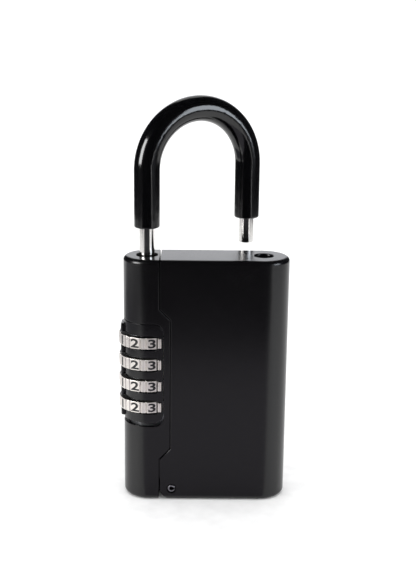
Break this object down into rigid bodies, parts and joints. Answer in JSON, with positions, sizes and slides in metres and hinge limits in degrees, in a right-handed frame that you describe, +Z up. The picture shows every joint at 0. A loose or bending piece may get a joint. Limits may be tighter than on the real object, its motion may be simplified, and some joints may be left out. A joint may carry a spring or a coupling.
{
  "type": "key safe padlock",
  "caption": "Padlock with thumbwheels on its side, a lifting and swinging shackle in a vinyl sleeve, and a key container that swings out about a pin.",
  "frame": {"origin": "middle of the body's flat base, on the plane it stands on", "axes": "+Z up along the shackle's legs, -Y out of the front face that shows the digits, +X from the thumbwheels towards the key container"},
  "size_m": [0.07, 0.0408, 0.167],
  "materials": {
    "coated_body": "satin black powder coat over die-cast zinc",
    "bezel_black": "satin black, a little glossier than the body",
    "black_plastic": "moulded, lightly textured",
    "sleeve_vinyl": "glossy black soft vinyl",
    "wheel_nickel": "satin nickel plate",
    "shackle_steel": "bright nickel-chrome plated steel",
    "bare_zinc": "bare die-cast zinc",
    "spring_steel": "oiled spring steel",
    "nylon": "natural nylon"
  },
  "bodies": {
    "lock_block": {"lock_case": "coated_body", "dial_bezel": "bezel_black", "index_bar_1": "wheel_nickel", "index_bar_2": "wheel_nickel", "index_bar_3": "wheel_nickel", "index_bar_4": "wheel_nickel", "dial_spacer_1": "nylon", "dial_spacer_2": "nylon", "dial_spacer_3": "nylon", "upper_guide": "bare_zinc", "lower_guide": "bare_zinc", "heel_guide": "nylon", "spring_seat": "nylon", "click_spring": "spring_steel", "mechanism_cover": "bare_zinc", "cover_screw_top": "spring_steel", "cover_screw_bottom": "spring_steel", "hinge_pin": "spring_steel", "shackle_spring": "spring_steel"},
    "spindle": {"locking_spindle": "spring_steel"},
    "shackle": {"shackle_rod": "shackle_steel", "shackle_sleeve": "sleeve_vinyl"},
    "dial_1": {"dial_ring_1": "wheel_nickel", "code_hub_1": "bare_zinc"},
    "dial_2": {"dial_ring_2": "wheel_nickel", "code_hub_2": "bare_zinc"},
    "dial_3": {"dial_ring_3": "wheel_nickel", "code_hub_3": "bare_zinc"},
    "dial_4": {"dial_ring_4": "wheel_nickel", "code_hub_4": "bare_zinc"},
    "slider": {"code_slider": "black_plastic"},
    "container": {"key_container": "coated_body"}
  },
  "joints": [
    {"name": "shackle_lift", "type": "slide", "parent": "lock_block", "child": "spindle", "axis": [0, 0, 1], "range_m": [-0.011, 0], "stiffness_N_per_m": 250, "springref_m": 0.012, "deforming": ["shackle_spring"]},
    {"name": "shackle_swing", "type": "hinge", "parent": "spindle", "child": "shackle", "pos_m": [-0.02435, 0, 0.1034], "axis": [0, 0, 1], "range_deg": [-30, 150]},
    {"name": "dial_1_turn", "type": "hinge", "parent": "lock_block", "child": "dial_1", "pos_m": [-0.02435, 0, 0.0687], "axis": [0, 0, 1], "continuous": true},
    {"name": "dial_2_turn", "type": "hinge", "parent": "lock_block", "child": "dial_2", "pos_m": [-0.02435, 0, 0.0595], "axis": [0, 0, 1], "continuous": true},
    {"name": "dial_3_turn", "type": "hinge", "parent": "lock_block", "child": "dial_3", "pos_m": [-0.02435, 0, 0.0503], "axis": [0, 0, 1], "continuous": true},
    {"name": "dial_4_turn", "type": "hinge", "parent": "lock_block", "child": "dial_4", "pos_m": [-0.02435, 0, 0.0411], "axis": [0, 0, 1], "continuous": true},
    {"name": "code_slide", "type": "slide", "parent": "lock_block", "child": "slider", "axis": [0, 0, 1], "range_m": [0, 0.004]},
    {"name": "container_swing", "type": "hinge", "parent": "lock_block", "child": "container", "pos_m": [-0.0138, 0, 0.00485], "axis": [0, 1, 0], "range_deg": [0, 90]}
  ]
}
